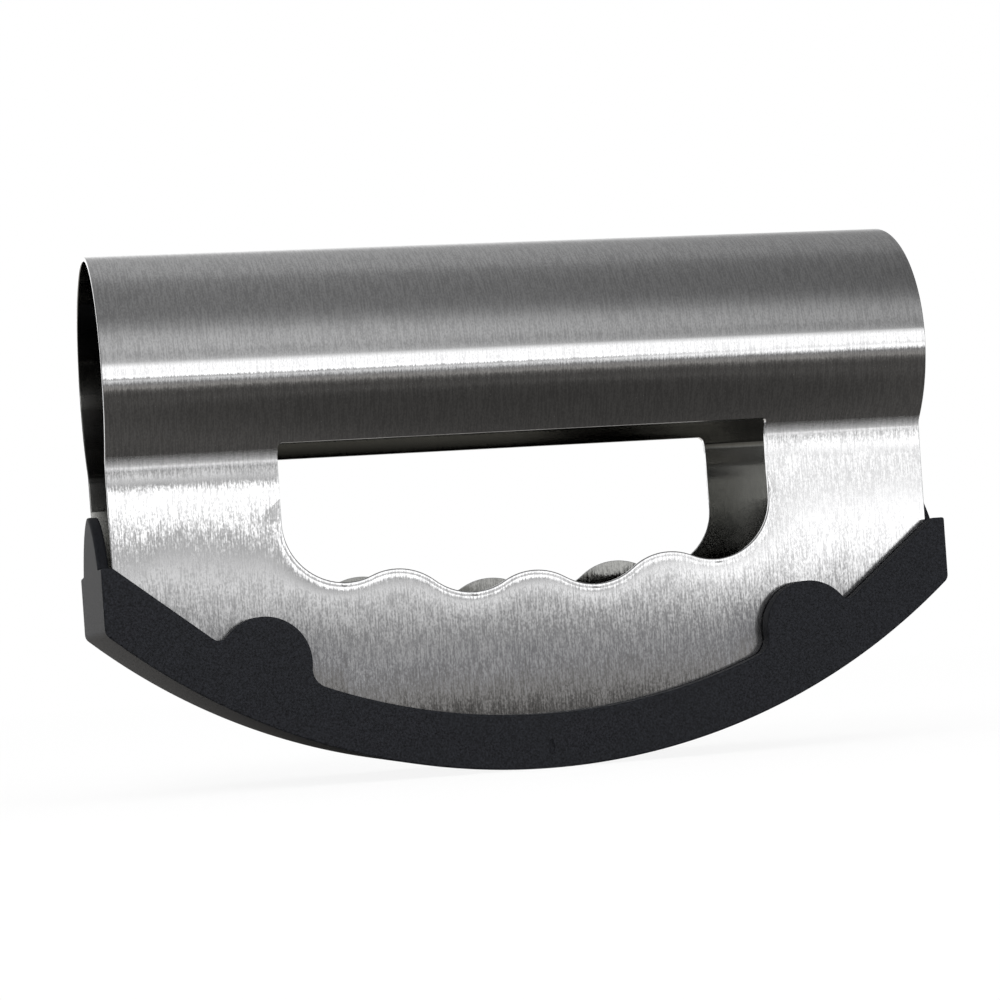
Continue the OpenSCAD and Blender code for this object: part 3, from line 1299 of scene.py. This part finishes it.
WHITE_PANEL = UprightPanel(
    "studio_panel", y=-0.73, low=(-0.60, 0.030), high=(1.40, 0.262),
    glow=(
        (0.030, 0.45), (0.036, 0.60), (0.045, 0.95), (0.055, 1.35), (0.065, 1.60), (0.075, 1.80), (0.085, 1.60),
        (0.093, 1.25), (0.110, 1.22), (0.125, 1.50), (0.215, 1.5), (0.235, 1.2), (0.262, 0.8),
    ),
)  # fmt: skip
GREY_STRIP = UprightPanel(
    "studio_strip", y=-0.725, low=(-0.60, 0.028), high=(0.27, 0.118),
    glow=(
        (0.028, 0.29), (0.033, 0.34), (0.038, 0.42), (0.045, 0.57), (0.050, 0.64), (0.056, 0.68), (0.062, 0.90),
        (0.070, 0.92), (0.075, 0.66), (0.080, 0.42), (0.086, 0.40), (0.090, 0.85), (0.094, 1.40), (0.100, 1.70),
        (0.118, 1.80),
    ),
)  # fmt: skip
FRONT_CARD = TableCard(
    "studio_front_card_face",
    glow=(
        (0.0, 0.050), (0.08, 0.056), (0.13, 0.085), (0.22, 0.075), (0.30, 0.10), (0.38, 0.16),
        (0.45, 0.29), (0.65, 0.29), (1.00, 0.25), (1.60, 0.26), (4.2, 0.32),
    ),
    middle=(0.04, -0.15),
)  # fmt: skip
BACK_CARD = TableCard(
    "studio_back_card_face",
    glow=((0.0, 0.10), (0.05, 0.14), (0.10, 0.40), (0.18, 0.65), (0.40, 0.80), (1.0, 0.88), (4.2, 0.95)),
)


@dataclass
class Studio:
    """Pale floor, white backdrop, soft lamps and the cloths that the steel mirrors."""

    floor_size: float = 30.0
    tent_r: float = 4.0
    card_z: float = 0.3 * MM
    world_glow: float = 0.85

    def floor(self) -> None:
        """Lay the pale floor."""
        deselect()
        bpy.ops.mesh.primitive_plane_add(size=self.floor_size)
        floor = named("studio_floor")
        dress(floor, PaleFloor().build())

    def only_mirrored(self, obj: bpy.types.Object, material: bpy.types.Material) -> None:
        """Dress a studio cloth and let only reflections see it.

        Args:
            obj: The cloth.
            material: Its finish.
        """
        dress(obj, material)
        obj.visible_camera = False
        obj.visible_diffuse = False
        obj.visible_shadow = False
        obj.visible_transmission = False
        obj.visible_volume_scatter = False

    def tent(self) -> None:
        """Raise the half dome of cloth round the object."""
        deselect()
        bpy.ops.mesh.primitive_uv_sphere_add(segments=64, ring_count=32, radius=self.tent_r)
        tent = named("studio_tent")
        bpy.ops.object.mode_set(mode="EDIT")
        bpy.ops.mesh.select_all(action="SELECT")
        bpy.ops.mesh.bisect(plane_co=(0, 0, 0), plane_no=(0, 0, 1), clear_inner=True)
        bpy.ops.object.mode_set(mode="OBJECT")
        self.only_mirrored(tent, TentCloth().build())

    def half_card(self, name: str, side: int, card: TableCard) -> None:
        """Lay a half round card on the table.

        Args:
            name: Name of the card.
            side: -1 for in front of the object and 1 for behind it.
            card: Its finish.
        """
        deselect()
        bpy.ops.mesh.primitive_circle_add(vertices=96, radius=self.tent_r, fill_type="NGON")
        half = named(name)
        bpy.ops.object.mode_set(mode="EDIT")
        bpy.ops.mesh.select_all(action="SELECT")
        bpy.ops.mesh.bisect(plane_co=(0, 0, 0), plane_no=(0, -side, 0), clear_outer=True)
        bpy.ops.mesh.select_all(action="SELECT")
        bpy.ops.transform.translate(value=(0, 0, self.card_z))
        bpy.ops.object.mode_set(mode="OBJECT")
        self.only_mirrored(half, card.build())

    def cloths(self) -> None:
        """Set up everything that only reflections see."""
        self.tent()
        for panel in (WHITE_PANEL, GREY_STRIP):
            self.only_mirrored(panel.stand(), PanelCloth(f"{panel.name}_cloth", panel.glow).build())
        self.half_card("studio_front_card", -1, FRONT_CARD)
        self.half_card("studio_back_card", 1, BACK_CARD)

    def world(self) -> None:
        """Surround the scene with plain white, weaker where it only lights the object."""
        world = bpy.data.worlds.new("studio_world")
        bpy.context.scene.world = world
        world.use_nodes = True
        work = NodeWork(world.node_tree, "ShaderNodeOutputWorld")
        back = work.add("ShaderNodeBackground", Color=WHITE)
        level = work.add("ShaderNodeMapRange", To_Min=self.world_glow, To_Max=1.0)
        work.join(work.seen_directly(), level.inputs["Value"])
        work.join(level.outputs["Result"], back.inputs["Strength"])
        work.join(back.outputs["Background"], work.out.inputs["Surface"])

    def build(self) -> None:
        """Set up the whole studio."""
        self.floor()
        self.cloths()
        for lamp in (KEY_LAMP, FILL_LAMP):
            lamp.hang()
        self.world()
        bpy.context.scene.view_settings.view_transform = "Standard"


@dataclass
class PhotoCamera:
    """Camera that stands where the photograph was taken from.

    The turns are in radians, and focal is the focal length as a multiple of the sensor's width.
    """

    place: tuple[float, float, float] = (-139.13 * MM, -544.86 * MM, 26.67 * MM)
    yaw: float = -0.2164
    pitch: float = 0.0
    roll: float = -0.0701
    focal: float = 2.5604
    shift: tuple[float, float] = (0.07, 0.1494)
    sensor: float = 36.0
    clip: Point = (0.01, 100.0)

    def build(self) -> None:
        """Add the camera and make it the scene's own."""
        cy, sy = math.cos(self.yaw), math.sin(self.yaw)
        cp, sp = math.cos(self.pitch), math.sin(self.pitch)
        level_right = Vector((cy, sy, 0.0))
        forward = Vector((-sy * cp, cy * cp, sp))
        level_up = level_right.cross(forward)
        cr, sr = math.cos(self.roll), math.sin(self.roll)
        right = cr * level_right + sr * level_up
        up = -sr * level_right + cr * level_up
        data = bpy.data.cameras.new("photo_camera")
        data.sensor_width = self.sensor
        data.lens = self.focal * self.sensor
        data.shift_x, data.shift_y = self.shift
        data.clip_start, data.clip_end = self.clip
        camera = bpy.data.objects.new("photo_camera", data)
        bpy.context.scene.collection.objects.link(camera)
        turn = Matrix((right, up, -forward)).transposed().to_4x4()
        camera.matrix_world = Matrix.Translation(self.place) @ turn
        bpy.context.scene.camera = camera


def main() -> None:
    """Build the camera, both pieces and the studio."""
    logging.basicConfig(level=logging.INFO, format="%(name)s: %(message)s")
    PhotoCamera().build()
    for maker in (FoldedSheet(), BladeGuard()):
        piece = maker.build()
        maker.finish()
        log.info("%s stands for its solid", piece.name)
    Studio().build()


if __name__ == "__main__":
    main()
